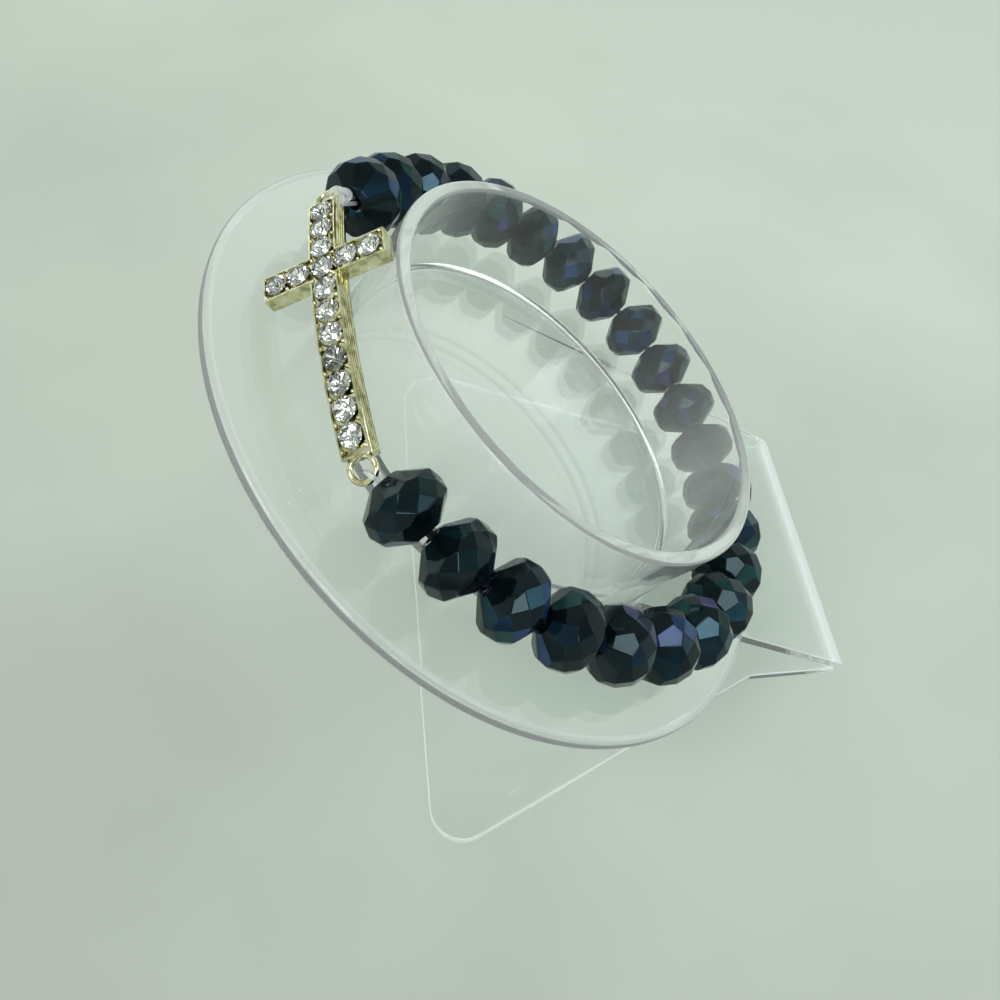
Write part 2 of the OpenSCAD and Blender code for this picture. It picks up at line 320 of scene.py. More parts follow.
class CrossSettings(bpy.types.PropertyGroup):
    """Sizes and colours of the cross and its stones."""

    bend: FloatProperty(
        name="Bend",
        description="Radius that the long arm is curved to",
        default=58.6 * MM,
        unit="LENGTH",
    )
    edge: FloatProperty(
        name="Edge",
        description="Width of the rounded edges of the metal",
        default=0.07 * MM,
        unit="LENGTH",
    )
    prong: FloatProperty(
        name="Prong", description="Radius of a prong's head", default=0.22 * MM, unit="LENGTH"
    )
    rib: FloatProperty(
        name="Rib",
        description="Radius of a rib on the long arm's side",
        default=0.1 * MM,
        unit="LENGTH",
    )
    metal: FloatVectorProperty(
        name="Metal", description="Pale gold plating", subtype="COLOR", default=(0.72, 0.69, 0.40)
    )
    worn: FloatVectorProperty(
        name="Worn Metal",
        description="Where the plating is paler",
        subtype="COLOR",
        default=(0.80, 0.79, 0.66),
    )
    crystal: FloatVectorProperty(
        name="Crystal",
        description="The stones' glass",
        subtype="COLOR",
        default=(0.97, 0.985, 0.98),
    )


class StandSettings(bpy.types.PropertyGroup):
    """Sizes and colour of the clear stand."""

    brim: FloatProperty(
        name="Brim", description="Radius of the brim", default=38.2 * MM, unit="LENGTH"
    )
    brim_depth: FloatProperty(
        name="Brim Depth",
        description="Depth of the brim below the strand",
        default=4.3 * MM,
        unit="LENGTH",
    )
    brim_thickness: FloatProperty(
        name="Brim Thickness", description="Thickness of the brim", default=1.8 * MM, unit="LENGTH"
    )
    rim: FloatProperty(
        name="Rim", description="Outer radius of the crown's rim", default=24.7 * MM, unit="LENGTH"
    )
    base: FloatProperty(
        name="Base",
        description="Outer radius of the crown at the brim",
        default=24 * MM,
        unit="LENGTH",
    )
    rim_height: FloatProperty(
        name="Rim Height",
        description="Height of the rim above the strand",
        default=8.2 * MM,
        unit="LENGTH",
    )
    wall: FloatProperty(
        name="Wall", description="Thickness of the crown's wall", default=1.6 * MM, unit="LENGTH"
    )
    acrylic: FloatVectorProperty(
        name="Acrylic",
        description="The clear sheet's faint tint",
        subtype="COLOR",
        default=(0.965, 0.978, 0.97),
    )


class StageSettings(bpy.types.PropertyGroup):
    """Colours of the floor and the light."""

    floor: FloatVectorProperty(
        name="Floor", description="The pale floor", subtype="COLOR", default=(0.65, 0.715, 0.615)
    )
    # Painted shade: the floor nearer the camera is painted darker, standing for light that falls
    # off toward the front
    floor_painted_shade: FloatVectorProperty(
        name="Painted Shade Near Floor",
        description="The floor nearer the camera",
        subtype="COLOR",
        default=(0.45, 0.485, 0.42),
    )
    sky: FloatVectorProperty(
        name="Soft Light",
        description="Light from all round",
        subtype="COLOR",
        default=(0.93, 1.0, 0.95),
    )


# Small tools that the operators share


def link_object(name, mesh):
    """Puts a mesh in the scene as an object at the origin."""
    made = bpy.data.objects.new(name, mesh)
    bpy.context.scene.collection.objects.link(made)
    return made


def mesh_from(name, points, faces=(), edges=()):
    """A mesh from lists of points, faces and edges."""
    mesh = bpy.data.meshes.new(name)
    points, edges, faces = ([tuple(item) for item in items] for items in (points, edges, faces))
    mesh.from_pydata(points, edges, faces)
    mesh.validate()
    return mesh


def finish_piece(piece, slot, *nodes):
    """Rides a finished piece on the part and hides the solids that it stands for. Its finish is not
    used.
    """
    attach(piece, BODY)
    if nodes:
        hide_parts(*nodes)


def settled(piece):
    """Turns a piece's modifiers into plain mesh and removes them."""
    depsgraph = bpy.context.evaluated_depsgraph_get()
    plain = bpy.data.meshes.new_from_object(piece.evaluated_get(depsgraph), depsgraph=depsgraph)
    piece.modifiers.clear()
    piece.data = plain
    return piece


def keep_flats(piece):
    """Keeps large faces flat where they meet rounded edges."""
    flats = piece.modifiers.new("flat faces", "WEIGHTED_NORMAL")
    flats.mode = "FACE_AREA"
    flats.weight = 100
    flats.keep_sharp = True


def add_bevel(piece, width, angle, segments, finish=-1):
    """Rounds the edges that are sharper than an angle, in a finish of their own if one is given."""
    bevel = piece.modifiers.new("rounded edges", "BEVEL")
    bevel.width = width
    bevel.segments = segments
    bevel.limit_method = "ANGLE"
    bevel.angle_limit = math.radians(angle)
    bevel.material = finish
    keep_flats(piece)


def merged_copy(node, name, flat_angle):
    """A copy of a solid's mesh with its doubles merged and its flat faces whole."""
    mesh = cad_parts[node].data.copy()
    mesh.name = name
    mesh.materials.clear()
    work = bmesh.new()
    work.from_mesh(mesh)
    bmesh.ops.remove_doubles(work, verts=work.verts, dist=SAME_POINT)
    bmesh.ops.dissolve_limit(
        work,
        angle_limit=math.radians(flat_angle),
        verts=work.verts,
        edges=work.edges,
        delimit={"NORMAL"},
    )
    bmesh.ops.recalc_face_normals(work, faces=work.faces)
    work.to_mesh(mesh)
    work.free()
    return link_object(name, mesh)


def new_tree(name, inputs):
    """A Geometry Nodes tree with named inputs, and its two end nodes."""
    tree = bpy.data.node_groups.new(name, "GeometryNodeTree")
    face = tree.interface
    face.new_socket("Geometry", in_out="INPUT", socket_type="NodeSocketGeometry")
    for label, kind, value in inputs:
        socket = face.new_socket(label, in_out="INPUT", socket_type="NodeSocket" + kind)
        if value is not None:
            socket.default_value = value
    face.new_socket("Geometry", in_out="OUTPUT", socket_type="NodeSocketGeometry")
    return tree, tree.nodes.new("NodeGroupInput"), tree.nodes.new("NodeGroupOutput")


def add_node(tree, kind, settings=None, **links):
    """Adds a node, sets it up, and fills its inputs with values or other nodes' sockets."""
    node = tree.nodes.new(kind)
    for key, value in (settings or {}).items():
        setattr(node, key, value)
    for label, value in links.items():
        socket = node.inputs[label.replace("_", " ")]
        if isinstance(value, bpy.types.NodeSocket):
            tree.links.new(value, socket)
        else:
            socket.default_value = value
    return node


def end_tree(tree, shape, material, result):
    """Ends a tree in plain mesh with its material on."""
    plain = add_node(tree, "GeometryNodeRealizeInstances", Geometry=shape)
    painted = add_node(
        tree, "GeometryNodeSetMaterial", Geometry=plain.outputs[0], Material=material
    )
    tree.links.new(painted.outputs[0], result.inputs[0])
    return tree


def run_tree(name, mesh, tree, values):
    """An object with a tree on it, whose inputs are set by their identifiers."""
    piece = link_object(name, mesh)
    nodes = piece.modifiers.new("shape", "NODES")
    nodes.node_group = tree
    for item in tree.interface.items_tree:
        if item.in_out == "INPUT" and item.name in values:
            nodes[item.identifier] = values[item.name]
    return piece


# Materials


def new_material(name, colour, **sockets):
    """A Principled material with constant values on its own sockets."""
    material = bpy.data.materials.new(name)
    material.use_nodes = True
    shader = material.node_tree.nodes["Principled BSDF"]
    shader.inputs["Base Color"].default_value = (*colour, 1)
    for label, value in sockets.items():
        shader.inputs[label.replace("_", " ")].default_value = value
    return material, material.node_tree, shader


def object_noise(tree, scale, detail, stretch=(1, 1, 1)):
    """Noise on Object coordinates, stretched along an axis where asked."""
    place = add_node(tree, "ShaderNodeTexCoord")
    spot = add_node(tree, "ShaderNodeMapping", Vector=place.outputs["Object"], Scale=stretch)
    noise = add_node(tree, "ShaderNodeTexNoise", Vector=spot.outputs[0], Scale=scale, Detail=detail)
    return noise.outputs["Fac"]


def along_way(tree, way):
    """How far a point lies along a direction, on Object coordinates."""
    place = add_node(tree, "ShaderNodeTexCoord")
    along = add_node(tree, "ShaderNodeVectorMath", {"operation": "DOT_PRODUCT"})
    along.inputs[1].default_value = way
    tree.links.new(place.outputs["Object"], along.inputs[0])
    return along.outputs["Value"]


def facet_tint(tree):
    """The number from 0 to 1 that each facet was given by chance."""
    tint = add_node(tree, "ShaderNodeAttribute", {"attribute_name": "facet_tint"})
    return tint.outputs["Fac"]


def ramp(tree, source, stops):
    """A colour ramp on a value, from (place, colour) stops."""
    node = add_node(tree, "ShaderNodeValToRGB", Fac=source)
    elements = node.color_ramp.elements
    while len(elements) < len(stops):
        elements.new(0.5)
    for element, (place, colour) in zip(elements, stops):
        element.position = place
        element.color = (*colour, 1)
    return node.outputs["Color"]


def shares(colour, stops):
    """Stops of a ramp that are shares of one colour."""
    return [(place, tuple(share * c for c in colour)) for place, share in stops]


def roughen(tree, shader, source, low, high):
    """Roughness that a noise spreads between two values."""
    node = add_node(tree, "ShaderNodeMapRange", Value=source, To_Min=low, To_Max=high)
    tree.links.new(node.outputs["Result"], shader.inputs["Roughness"])


def add_bump(tree, shader, source, strength, distance):
    """Fine relief from a value."""
    node = add_node(tree, "ShaderNodeBump", Height=source, Strength=strength, Distance=distance)
    tree.links.new(node.outputs["Normal"], shader.inputs["Normal"])


def bead_glass(beads):
    """Polished black glass. Its facets carry painted glints of teal, blue and violet, partly the
    coating's own colour.
    """
    material, tree, shader = new_material("black bead glass", beads.glass, Metallic=0.14, IOR=1.39)
    shader.inputs["Specular Tint"].default_value = (*beads.sheen, 1)
    stops = [(at, tuple(share * c for c in getattr(beads, colour))) for at, colour, share in COAT_AND_PAINTED_GLINTS]
    glints = ramp(tree, facet_tint(tree), stops)
    # Painted reflection: a noise darkens and lightens patches of the glass's colour, standing for
    # light reflected inside the bead
    depth = object_noise(tree, scale=420, detail=1)
    shade = ramp(tree, depth, shares((1, 1, 1), ((0.3, 0.5), (0.7, 1.2))))
    how = {"data_type": "RGBA", "blend_type": "MULTIPLY"}
    mix = add_node(tree, "ShaderNodeMix", how, Factor=1, A=glints, B=shade)
    tree.links.new(mix.outputs["Result"], shader.inputs["Base Color"])
    roughen(tree, shader, object_noise(tree, scale=2600, detail=3), low=0.03, high=0.1)
    return material


def plated_metal(cross):
    """Pale gold plating with fine polishing marks."""
    material, tree, shader = new_material("pale gold plating", cross.metal, Metallic=1.0)
    marks = object_noise(tree, scale=5200, detail=4, stretch=(1, 0.25, 1))
    roughen(tree, shader, marks, low=0.05, high=0.18)
    cloud = object_noise(tree, scale=900, detail=2)
    dull = tuple(0.5 * c for c in cross.metal)
    plating = ramp(tree, cloud, ((0.3, dull), (0.5, tuple(cross.metal)), (0.68, tuple(cross.worn))))
    tree.links.new(plating, shader.inputs["Base Color"])
    add_bump(tree, shader, marks, strength=0.5, distance=0.025 * MM)
    return material


def crystal_glass(cross):
    """Colourless cut glass."""
    material, tree, shader = new_material(
        "cut crystal", cross.crystal, Transmission_Weight=1.0, IOR=1.9
    )
    roughen(tree, shader, object_noise(tree, scale=3000, detail=2), low=0.0, high=0.015)
    return material


def stone_foil():
    """The silvered back of a stone, whose facets are each painted somewhere from near black to
    white as painted glints and painted shade.
    """
    material, tree, shader = new_material("stone foil", (0.9, 0.9, 0.87), Metallic=1.0)
    tree.links.new(ramp(tree, facet_tint(tree), SILVER), shader.inputs["Base Color"])
    roughen(tree, shader, object_noise(tree, scale=4000, detail=2), low=0.0, high=0.08)
    return material


def light_passes(material, tree, shader, clear):
    """Lets the lamps reach what is behind or inside a clear piece, in place of a black shadow."""
    rays = add_node(tree, "ShaderNodeLightPath")
    through = add_node(tree, "ShaderNodeBsdfTransparent", Color=(*clear, 1))
    either = add_node(tree, "ShaderNodeMath", {"operation": "MAXIMUM"})
    tree.links.new(rays.outputs["Is Shadow Ray"], either.inputs[0])
    tree.links.new(rays.outputs["Is Diffuse Ray"], either.inputs[1])
    choice = add_node(tree, "ShaderNodeMixShader", Fac=either.outputs[0])
    tree.links.new(shader.outputs["BSDF"], choice.inputs[1])
    tree.links.new(through.outputs["BSDF"], choice.inputs[2])
    tree.links.new(choice.outputs["Shader"], tree.nodes["Material Output"].inputs["Surface"])
    return material


def elastic_gum():
    """Clear, slightly milky stretch cord."""
    material, tree, shader = new_material(
        "clear elastic", (0.95, 0.97, 0.97), Transmission_Weight=0.72, IOR=1.45
    )
    roughen(tree, shader, object_noise(tree, scale=2500, detail=3), low=0.08, high=0.3)
    return light_passes(material, tree, shader, (0.8, 0.82, 0.82))


def shaded_elastic():
    """The same cord between the beads, painted near black as painted shade where the beads shade it
    from both sides.
    """
    material, tree, shader = new_material(
        "elastic between beads", (0.012, 0.018, 0.02), IOR=1.35, Specular_IOR_Level=0.1
    )
    roughen(tree, shader, object_noise(tree, scale=2500, detail=3), low=0.3, high=0.5)
    return material


def scratched_acrylic(name, stand, low, high, **sockets):
    """Acrylic with a faint veil of fine scratches, which spread its roughness."""
    material, tree, shader = new_material(name, stand.acrylic, **sockets)
    scratches = object_noise(tree, scale=900, detail=6, stretch=(1, 0.08, 1))
    roughen(tree, shader, scratches, low, high)
    light_passes(material, tree, shader, CLEARNESS)
    return material, tree, shader


def clear_acrylic(stand):
    """The clear flat parts of the moulding."""
    return scratched_acrylic(
        "clear acrylic", stand, low=0.0, high=0.05, Transmission_Weight=0.965, IOR=1.38
    )[0]


def milky_acrylic(stand, clear):
    """The same acrylic at its moulded and cut edges, made milky: painted reflection at the rims and
    corners, and the foot's cut edge.
    """
    return scratched_acrylic(
        "milky acrylic edge", stand, low=0.04, high=0.16, Transmission_Weight=clear, IOR=1.38
    )[0]


def veiled_acrylic(name, stand, way, start, end, stops):
    """Acrylic that is more or less clear from one place to another along a direction, as a painted
    veil of reflected light.
    """
    material, tree, shader = scratched_acrylic(
        name, stand, low=0.0, high=0.05, Transmission_Weight=0.94, IOR=1.36
    )
    along = along_way(tree, way)
    veil = add_node(tree, "ShaderNodeMapRange", Value=along, From_Min=start, From_Max=end)
    clear = ramp(tree, veil.outputs["Result"], shares((1, 1, 1), stops))
    tree.links.new(clear, shader.inputs["Transmission Weight"])
    return material


def crown_acrylic(stand):
    """The moulding's wall: clearest across its back, with a painted veil of reflected light toward
    both sides.
    """
    way = SLOPE.to_3x3() @ Vector((math.cos(CLEAR_AT), math.sin(CLEAR_AT), 0))
    middle = way.dot(SLOPE.translation)
    start, end = middle - stand.base, middle + stand.base
    return veiled_acrylic("moulded acrylic", stand, way, start, end, CROWN_CLEARNESS)


def foot_acrylic(stand, fold):
    """The foot's sheet: clear, and painted milky beside the front fold as painted reflection along
    the bend.
    """
    return veiled_acrylic("folded acrylic", stand, (1, 0, 0), fold - FOLD_SHINE, fold, FOOT_CLEARNESS)


def floor_paint(stage):
    """The pale floor, with painted light: darker toward the camera, lighter toward the back, and
    the faintest cloud in it.
    """
    material, tree, shader = new_material("pale floor", stage.floor, Roughness=0.75)
    added = add_node(tree, "ShaderNodeMath", {"operation": "ADD"})
    tree.links.new(along_way(tree, FLOOR_WAY), added.inputs[0])
    tree.links.new(object_noise(tree, scale=14, detail=3), added.inputs[1])
    paint = ramp(tree, added.outputs[0], tuple(zip(FLOOR_STOPS, (stage.floor_painted_shade, stage.floor))))
    tree.links.new(paint, shader.inputs["Base Color"])
    return material


# The strand


def strand_radius(beads, angle):
    """Radius of the strand in a direction, in metres."""
    waves = (size * math.cos(math.radians(times * (angle - at))) for size, times, at in LOOP_WAVES)
    return beads.loop + sum(waves) * MM


def strand_point(beads, angle, index):
    """A bend of the strand on the slope: it lifts toward the upper ring."""
    radius = strand_radius(beads, angle)
    turn = math.radians(angle)
    lift = LIFT_TOP * MM * math.exp(-(len(BEAD_TURNS) - index) / LIFT_FADE)
    return Vector((radius * math.cos(turn), radius * math.sin(turn), lift))


def strand_bends(beads):
    """The bends of the strand, one pitch apart."""
    angle = FIRST_ANGLE
    bends = [strand_point(beads, angle, 0)]
    for index in range(1, len(BEAD_TURNS) + 1):
        step = BEND_GUESS
        for _ in range(BEND_TRIES):
            step *= beads.pitch / (strand_point(beads, angle + step, index) - bends[-1]).length
        angle += step
        bends.append(strand_point(beads, angle, index))
    return bends


def bead_places(beads):
    """Where each bead sits, as a matrix whose Z is the bead's hole."""
    bends = strand_bends(beads)
    places = []
    for start, end in zip(bends, bends[1:]):
        way = (end - start).normalized()
        lean = Matrix.Rotation(math.acos(way.z), 4, "Y")
        round_z = Matrix.Rotation(math.atan2(way.y, way.x), 4, "Z")
        places.append(SLOPE @ Matrix.Translation((start + end) / 2) @ round_z @ lean)
    return places


def bead_sector(beads):
    """One slice of a bead: its belt, kites, five-sided facets, end flats and bore wall."""
    half = math.pi / beads.facets
    radius = beads.diameter / 2
    top = beads.length / 2
    belt_r = radius * math.cos(half)
    # Each kite leans in from the belt until it meets the slopes of the five-sided facets
    fall = (belt_r - beads.flat * math.cos(half)) / (top - beads.belt)
    kite_in = radius * (1 - math.cos(half) ** 2) / beads.belt
    kite_z = fall * beads.belt / (fall - kite_in * math.cos(half))
    kite_r = radius - kite_in * kite_z
    bore = beads.hole / 2

    def at(r, z, step):
        return Vector((r * math.cos(2 * half * step), r * math.sin(2 * half * step), z))

    low, high = at(belt_r, -beads.belt, 0.5), at(belt_r, beads.belt, 0.5)
    faces = [[at(radius, 0, 0), high, at(radius, 0, 1), low]]
    for side in (1, -1):
        belt, kite, flat = side * beads.belt, side * kite_z, side * top
        tip = at(belt_r, belt, 0.5)
        start, end = at(kite_r, kite, 0), at(kite_r, kite, 1)
        near, far = at(beads.flat, flat, 0), at(beads.flat, flat, 1)
        faces.append([at(radius, 0, 1), tip, end, at(belt_r, belt, 1.5)])
        faces.append([tip, start, near, far, end])
        faces.append([near, far, at(bore, flat, 1), at(bore, flat, 0.5), at(bore, flat, 0)])
    walls = []
    for a, b in ((0, 0.5), (0.5, 1)):
        walls.append([at(bore, top, a), at(bore, top, b), at(bore, -top, b), at(bore, -top, a)])
    points, polygons = [], []
    for number, face in enumerate(faces + walls):
        middle = sum(face, Vector()) / len(face)
        normal = (face[1] - face[0]).cross(face[2] - face[1])
        outward = middle if number < len(faces) else -Vector((middle.x, middle.y, 0))
        ordered = face if normal.dot(outward) > 0 else face[::-1]
        polygons.append(range(len(points), len(points) + len(ordered)))
        points.extend(ordered)
    return mesh_from("bead slice", points, polygons)


def bead_tree():
    """Repeats a slice round the hole, tints each facet, and puts the bead on the strand."""
    tree, given, result = new_tree(
        "faceted bead",
        [
            ("Facets", "Int", 10),
            ("Turn", "Float", 0.0),
            ("Middle", "Vector", None),
            ("Lean", "Vector", None),
            ("Seed", "Int", 1),
            ("Glint", "Float", 1.0),
            ("Material", "Material", None),
        ],
    )
    get = given.outputs
    row = add_node(tree, "GeometryNodeMeshLine", Count=get["Facets"], Offset=(0, 0, 0))
    index = add_node(tree, "GeometryNodeInputIndex")
    step = add_node(tree, "ShaderNodeMath", {"operation": "DIVIDE"})
    step.inputs[0].default_value = math.tau
    tree.links.new(get["Facets"], step.inputs[1])
    angle = add_node(tree, "ShaderNodeMath", {"operation": "MULTIPLY_ADD"})
    tree.links.new(index.outputs[0], angle.inputs[0])
    tree.links.new(step.outputs[0], angle.inputs[1])
    tree.links.new(get["Turn"], angle.inputs[2])
    spin = add_node(tree, "ShaderNodeCombineXYZ", Z=angle.outputs[0])
    round_z = add_node(tree, "FunctionNodeEulerToRotation", Euler=spin.outputs[0])
    slices = add_node(
        tree,
        "GeometryNodeInstanceOnPoints",
        Points=row.outputs["Mesh"],
        Instance=get["Geometry"],
        Rotation=round_z.outputs[0],
    )
    whole = add_node(tree, "GeometryNodeRealizeInstances", Geometry=slices.outputs[0])
    closed = add_node(
        tree, "GeometryNodeMergeByDistance", Geometry=whole.outputs[0], Distance=SAME_POINT
    )
    # Each facet's chance number sets its coating colour and painted glint in the material
    dice = add_node(tree, "FunctionNodeRandomValue", {"data_type": "FLOAT"}, Seed=get["Seed"])
    tinted = add_node(
        tree,
        "GeometryNodeStoreNamedAttribute",
        {"data_type": "FLOAT", "domain": "FACE"},
        Geometry=closed.outputs[0],
        Name="facet_tint",
    )
    tree.links.new(get["Glint"], dice.inputs[3])
    tree.links.new(dice.outputs[1], tinted.inputs["Value"])
    lean = add_node(tree, "FunctionNodeEulerToRotation", Euler=get["Lean"])
    strung = add_node(
        tree,
        "GeometryNodeTransform",
        Geometry=tinted.outputs[0],
        Translation=get["Middle"],
        Rotation=lean.outputs[0],
    )
    smooth = add_node(tree, "GeometryNodeSetShadeSmooth", Geometry=strung.outputs[0])
    return end_tree(tree, smooth.outputs[0], get["Material"], result)


class BRACELET_OT_beads(bpy.types.Operator):
    """Cuts the faceted beads and strings them round the crown"""

    bl_idname = "bracelet.beads"
    bl_label = "Beads"

    def execute(self, context):
        beads = context.scene.bracelet_beads
        material = bead_glass(beads)
        sector = bead_sector(beads)
        tree = bead_tree()
        for number, (place, turn) in enumerate(zip(bead_places(beads), BEAD_TURNS), 1):
            node = f"bead_{number:02d}"
            values = {
                "Facets": beads.facets,
                "Turn": math.radians(turn),
                "Middle": place.translation,
                "Lean": place.to_euler(),
                "Seed": number,
                "Glint": PLAIN_GLINT if number <= PLAIN_BEADS else 1.0,
                "Material": material,
            }
            bead = run_tree(f"{node}_cut", sector, tree, values)
            add_bevel(bead, beads.polish, angle=8, segments=2)
            settled(bead)
            low, high = (Vector(corner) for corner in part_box(node))
            middle = sum((Vector(corner) for corner in bead.bound_box), Vector()) / 8
            drift = (middle - (low + high) / 2).length
            if drift > BEAD_DRIFT:
                raise RuntimeError(f"{node} is {drift / MM:.2f} mm off its solid")
            finish_piece(bead, "bead_glass", node)
        return {"FINISHED"}


# The cross


def cross_matrix():
    """The cross on the slope: X across the long arm, Y up it, Z out of its face."""
    x, y, z = (math.radians(a) for a in CROSS_TURN)
    turn = Matrix.Rotation(z, 4, "Z") @ Matrix.Rotation(y, 4, "Y") @ Matrix.Rotation(x, 4, "X")
    return SLOPE @ Matrix.Translation(CROSS_AT) @ turn


def arm_matrix(cross, station):
    """A place on the curved long arm, at a distance down from the crossing."""
    bend = cross.bend
    return (
        cross_matrix()
        @ Matrix.Translation((0, 0, -bend))
        @ Matrix.Rotation(station / bend, 4, "X")
        @ Matrix.Translation((0, 0, bend))
    )


def wire_tree():
    """Turns a line of edges into a round wire."""
    tree, given, result = new_tree(
        "wire along a line",
        [("Radius", "Float", 0.1 * MM), ("Sides", "Int", 8), ("Material", "Material", None)],
    )
    get = given.outputs
    curve = add_node(tree, "GeometryNodeMeshToCurve", Mesh=get["Geometry"])
    ring = add_node(
        tree, "GeometryNodeCurvePrimitiveCircle", Resolution=get["Sides"], Radius=get["Radius"]
    )
    wire = add_node(
        tree,
        "GeometryNodeCurveToMesh",
        Curve=curve.outputs[0],
        Profile_Curve=ring.outputs[0],
        Fill_Caps=True,
    )
    smooth = add_node(tree, "GeometryNodeSetShadeSmooth", Geometry=wire.outputs[0])
    return end_tree(tree, smooth.outputs[0], get["Material"], result)


def prong_tree():
    """Puts a small rounded head on every point, each a little different."""
    tree, given, result = new_tree(
        "prong heads",
        [("Radius", "Float", 0.3 * MM), ("Seed", "Int", 1), ("Material", "Material", None)],
    )
    get = given.outputs
    ball = add_node(tree, "GeometryNodeMeshIcoSphere", Radius=get["Radius"], Subdivisions=2)
    head = add_node(tree, "GeometryNodeSetShadeSmooth", Geometry=ball.outputs["Mesh"])
    size = add_node(tree, "FunctionNodeRandomValue", {"data_type": "FLOAT"}, Seed=get["Seed"])
    size.inputs[2].default_value, size.inputs[3].default_value = PRONG_SIZES
    heads = add_node(
        tree,
        "GeometryNodeInstanceOnPoints",
        Points=get["Geometry"],
        Instance=head.outputs[0],
        Scale=size.outputs[1],
    )
    return end_tree(tree, heads.outputs[0], get["Material"], result)


def line_mesh(name, lines):
    """Open lines of points as one mesh of edges."""
    points, edges = [], []
    for line in lines:
        start = len(points)
        points.extend(line)
        edges.extend((i, i + 1) for i in range(start, len(points) - 1))
    return mesh_from(name, points, edges=edges)


def arm_line(cross, across, depth, low, high):
    """A line along the long arm, at a distance across it and a depth below its face."""
    stations = [low + (high - low) * i / RIB_STEPS for i in range(RIB_STEPS + 1)]
    return [arm_matrix(cross, s) @ Vector((across, 0, -depth)) for s in stations]


class BRACELET_OT_cross(bpy.types.Operator):
    """Makes the plated cross: its frame, its side ribs and its prongs"""

    bl_idname = "bracelet.cross"
    bl_label = "Cross"

    def execute(self, context):
        cross = context.scene.bracelet_cross
        metal = plated_metal(cross)
        body = merged_copy("cross_frame", "cross_metal", flat_angle=1)
        body.data.materials.append(metal)
        body.data.shade_smooth()
        add_bevel(body, cross.edge, angle=32, segments=2)
        finish_piece(settled(body), "cross_metal", "cross_frame")

        wire = wire_tree()
        ribs = []
        reach = BAR_W / 2
        for side in (-1, 1):
            across = side * ARM_W / 2
            for depth in RIB_DEPTHS:
                ribs.append(arm_line(cross, across, depth, ARM_ENDS[0], -reach))
                ribs.append(arm_line(cross, across, depth, reach, ARM_ENDS[1]))
        rails = run_tree(
            "cross_ribs",
            line_mesh("rib lines", ribs),
            wire,
            {"Radius": cross.rib, "Sides": 8, "Material": metal},
        )
        finish_piece(settled(rails), "cross_metal")

        heads = []
        for k in range(ARM_STONES + 1):
            place = arm_matrix(cross, FIRST_STONE + STONE_PITCH * (0.5 - k))
            for side in (-1, 1):
                heads.append(place @ Vector((side * (ARM_W / 2 - PRONG_IN), 0, 0)))
        for x in BAR_PRONGS:
            for side in (-1, 1):
                heads.append(cross_matrix() @ Vector((x, side * (BAR_W / 2 - PRONG_IN), 0)))
        prongs = run_tree(
            "cross_prongs",
            mesh_from("prong points", heads),
            prong_tree(),
            {"Radius": cross.prong, "Seed": PRONG_SEED, "Material": metal},
        )
        finish_piece(settled(prongs), "cross_metal")
        return {"FINISHED"}


class BRACELET_OT_stones(bpy.types.Operator):
    """Sets the cut stones, clear above and silvered behind"""

    bl_idname = "bracelet.stones"
    bl_label = "Stones"

    def execute(self, context):
        cross = context.scene.bracelet_cross
        crystal = crystal_glass(cross)
        foil = stone_foil()
        dice = random.Random(STONE_SEED)
        seats = {f"bar_stone_{k}": cross_matrix() for k in range(1, BAR_STONES + 1)}
        for k in range(1, ARM_STONES + 1):
            seats[f"arm_stone_{k:02d}"] = arm_matrix(cross, FIRST_STONE - (k - 1) * STONE_PITCH)
        for node, place in seats.items():
            stone = merged_copy(node, f"{node}_cut", ONE_FACE)
            up = place.to_3x3().col[2]
            stone.data.materials.append(crystal)
            stone.data.materials.append(foil)
            tints = stone.data.attributes.new("facet_tint", "FLOAT", "FACE")
            for face in stone.data.polygons:
                face.material_index = int(face.normal.dot(up) < SILVER_BELOW)
                # Each facet's chance number sets the brightness of its painted glint and painted
                # shade
                tints.data[face.index].value = dice.random()
            finish_piece(stone, "clear_stone", node)
        return {"FINISHED"}


class BRACELET_OT_elastic(bpy.types.Operator):
    """Draws the clear elastic through the beads and round the rings"""

    bl_idname = "bracelet.elastic"
    bl_label = "Elastic"

    def execute(self, context):
        strand = merged_copy("elastic_cord", "elastic_strand", flat_angle=0)
        gum = elastic_gum()
        strand.data.materials.append(gum)
        strand.data.materials.append(shaded_elastic())
        for face in strand.data.polygons:
            nearest = min((face.center - ring).length for ring in RING_PLACES)
            # Faces far from both rings lie between the beads and take the painted shade
            face.material_index = int(nearest > RING_REACH)
        strand.data.shade_smooth()
        smooth = strand.modifiers.new("smooth", "SUBSURF")
        smooth.levels = smooth.render_levels = 1
        finish_piece(settled(strand), "clear_elastic", "elastic_cord")

        lean = cross_matrix().to_3x3() @ Matrix.Rotation(KNOT_LEAN, 3, "X")
        # A trefoil, whose line reaches three times its scale from the middle
        scale = KNOT_W / 6
        line = []
        for i in range(KNOT_STEPS):
            t = math.tau * i / KNOT_STEPS
            across = math.sin(t) + 2 * math.sin(2 * t)
            along = KNOT_FLAT * (math.cos(t) - 2 * math.cos(2 * t))
            line.append(KNOT_AT + lean @ Vector((across, along, -math.sin(3 * t))) * scale)
        edges = [(i, (i + 1) % KNOT_STEPS) for i in range(KNOT_STEPS)]
        knot = run_tree(
            "elastic_knot",
            mesh_from("knot line", line, edges=edges),
            wire_tree(),
            {"Radius": KNOT_WIRE, "Sides": 10, "Material": gum},
        )
        finish_piece(settled(knot), "clear_elastic")
        return {"FINISHED"}


# The stand


def arc_points(centre, radius, start, end, steps=CORNER_STEPS):
    """Points of an arc in the section's plane, angles in degrees."""
    angles = [math.radians(start + (end - start) * i / steps) for i in range(steps + 1)]
    return [(centre[0] + radius * math.cos(a), centre[1] + radius * math.sin(a)) for a in angles]


